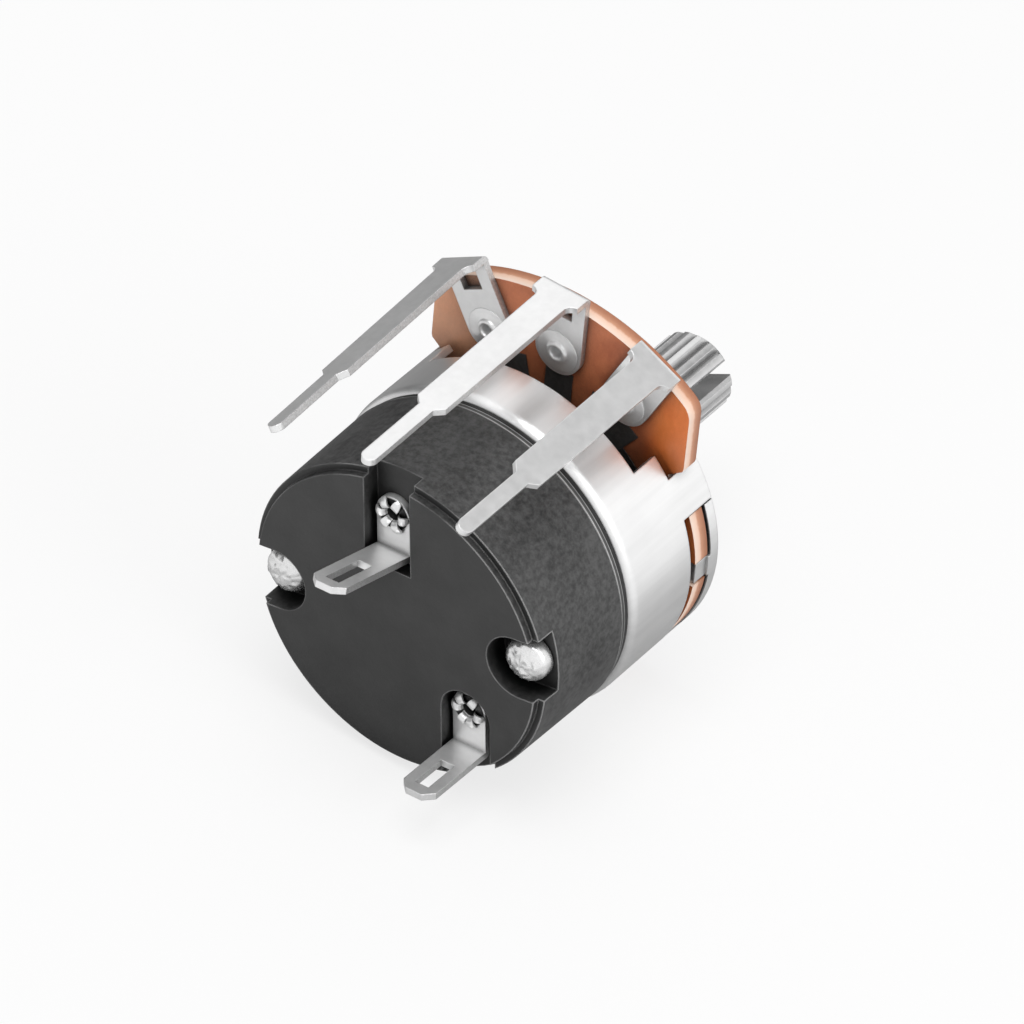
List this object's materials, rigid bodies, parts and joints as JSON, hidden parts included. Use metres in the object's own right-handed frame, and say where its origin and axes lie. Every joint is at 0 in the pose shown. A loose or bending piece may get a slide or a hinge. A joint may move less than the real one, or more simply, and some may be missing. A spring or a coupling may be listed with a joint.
{
  "type": "switched rotary potentiometer",
  "caption": "Panel-mounted rotary potentiometer with a round switch on its back, radial printed-circuit terminals and a split, splined shaft.",
  "frame": {"origin": "centre of the mounting face, where the bushing stands out of the mounting plate", "axes": "-Y along the shaft towards the knob, +Y back to the switch, +Z towards the middle terminal of the potentiometer, +X towards the terminal at the start of the track"},
  "size_m": [0.0248, 0.0413, 0.031],
  "materials": {
    "black_moulding": "matte moulded black",
    "tin_plate": "bright plated sheet",
    "steel_rivet": "plated, satin",
    "tinned_lug": "bright tinned sheet",
    "tinned_eyelet": "tinned",
    "phenolic_board": "semi-matte phenolic paper",
    "nickel_plate": "nickel plated, satin",
    "shaft_metal": "turned, satin",
    "ring_steel": "spring steel",
    "carbon_ink": "matte carbon print",
    "silver_ink": "matte silver print",
    "brown_moulding": "semi-matte moulding",
    "spring_bronze": "rolled spring strip",
    "white_moulding": "smooth moulding",
    "contact_brass": "rolled strip",
    "silver_contact": "plain silver"
  },
  "bodies": {
    "body": {"switch_housing": "black_moulding", "switch_cover": "tin_plate", "switch_rivets": "steel_rivet", "switch_lug_upper": "tinned_lug", "switch_lug_lower": "tinned_lug", "lug_eyelets": "tinned_eyelet", "can": "tin_plate", "element_board": "phenolic_board", "terminal_track_start": "tinned_lug", "terminal_wiper": "tinned_lug", "terminal_track_end": "tinned_lug", "terminal_eyelets": "tinned_eyelet", "mounting_plate": "tin_plate", "bushing": "nickel_plate", "carbon_track": "carbon_ink", "silver_end_pads": "silver_ink", "collector_ring": "silver_ink", "contact_leaf": "spring_bronze", "fixed_contact": "contact_brass", "contact_points": "silver_contact"},
    "spindle": {"shaft": "shaft_metal", "retaining_ring": "ring_steel", "rotor": "brown_moulding", "wiper": "spring_bronze", "switch_cam": "white_moulding"}
  },
  "joints": [
    {"name": "shaft_turn", "type": "hinge", "parent": "body", "child": "spindle", "pos_m": [0, 0, 0], "axis": [0, 1, 0], "range_deg": [0, 300]}
  ]
}
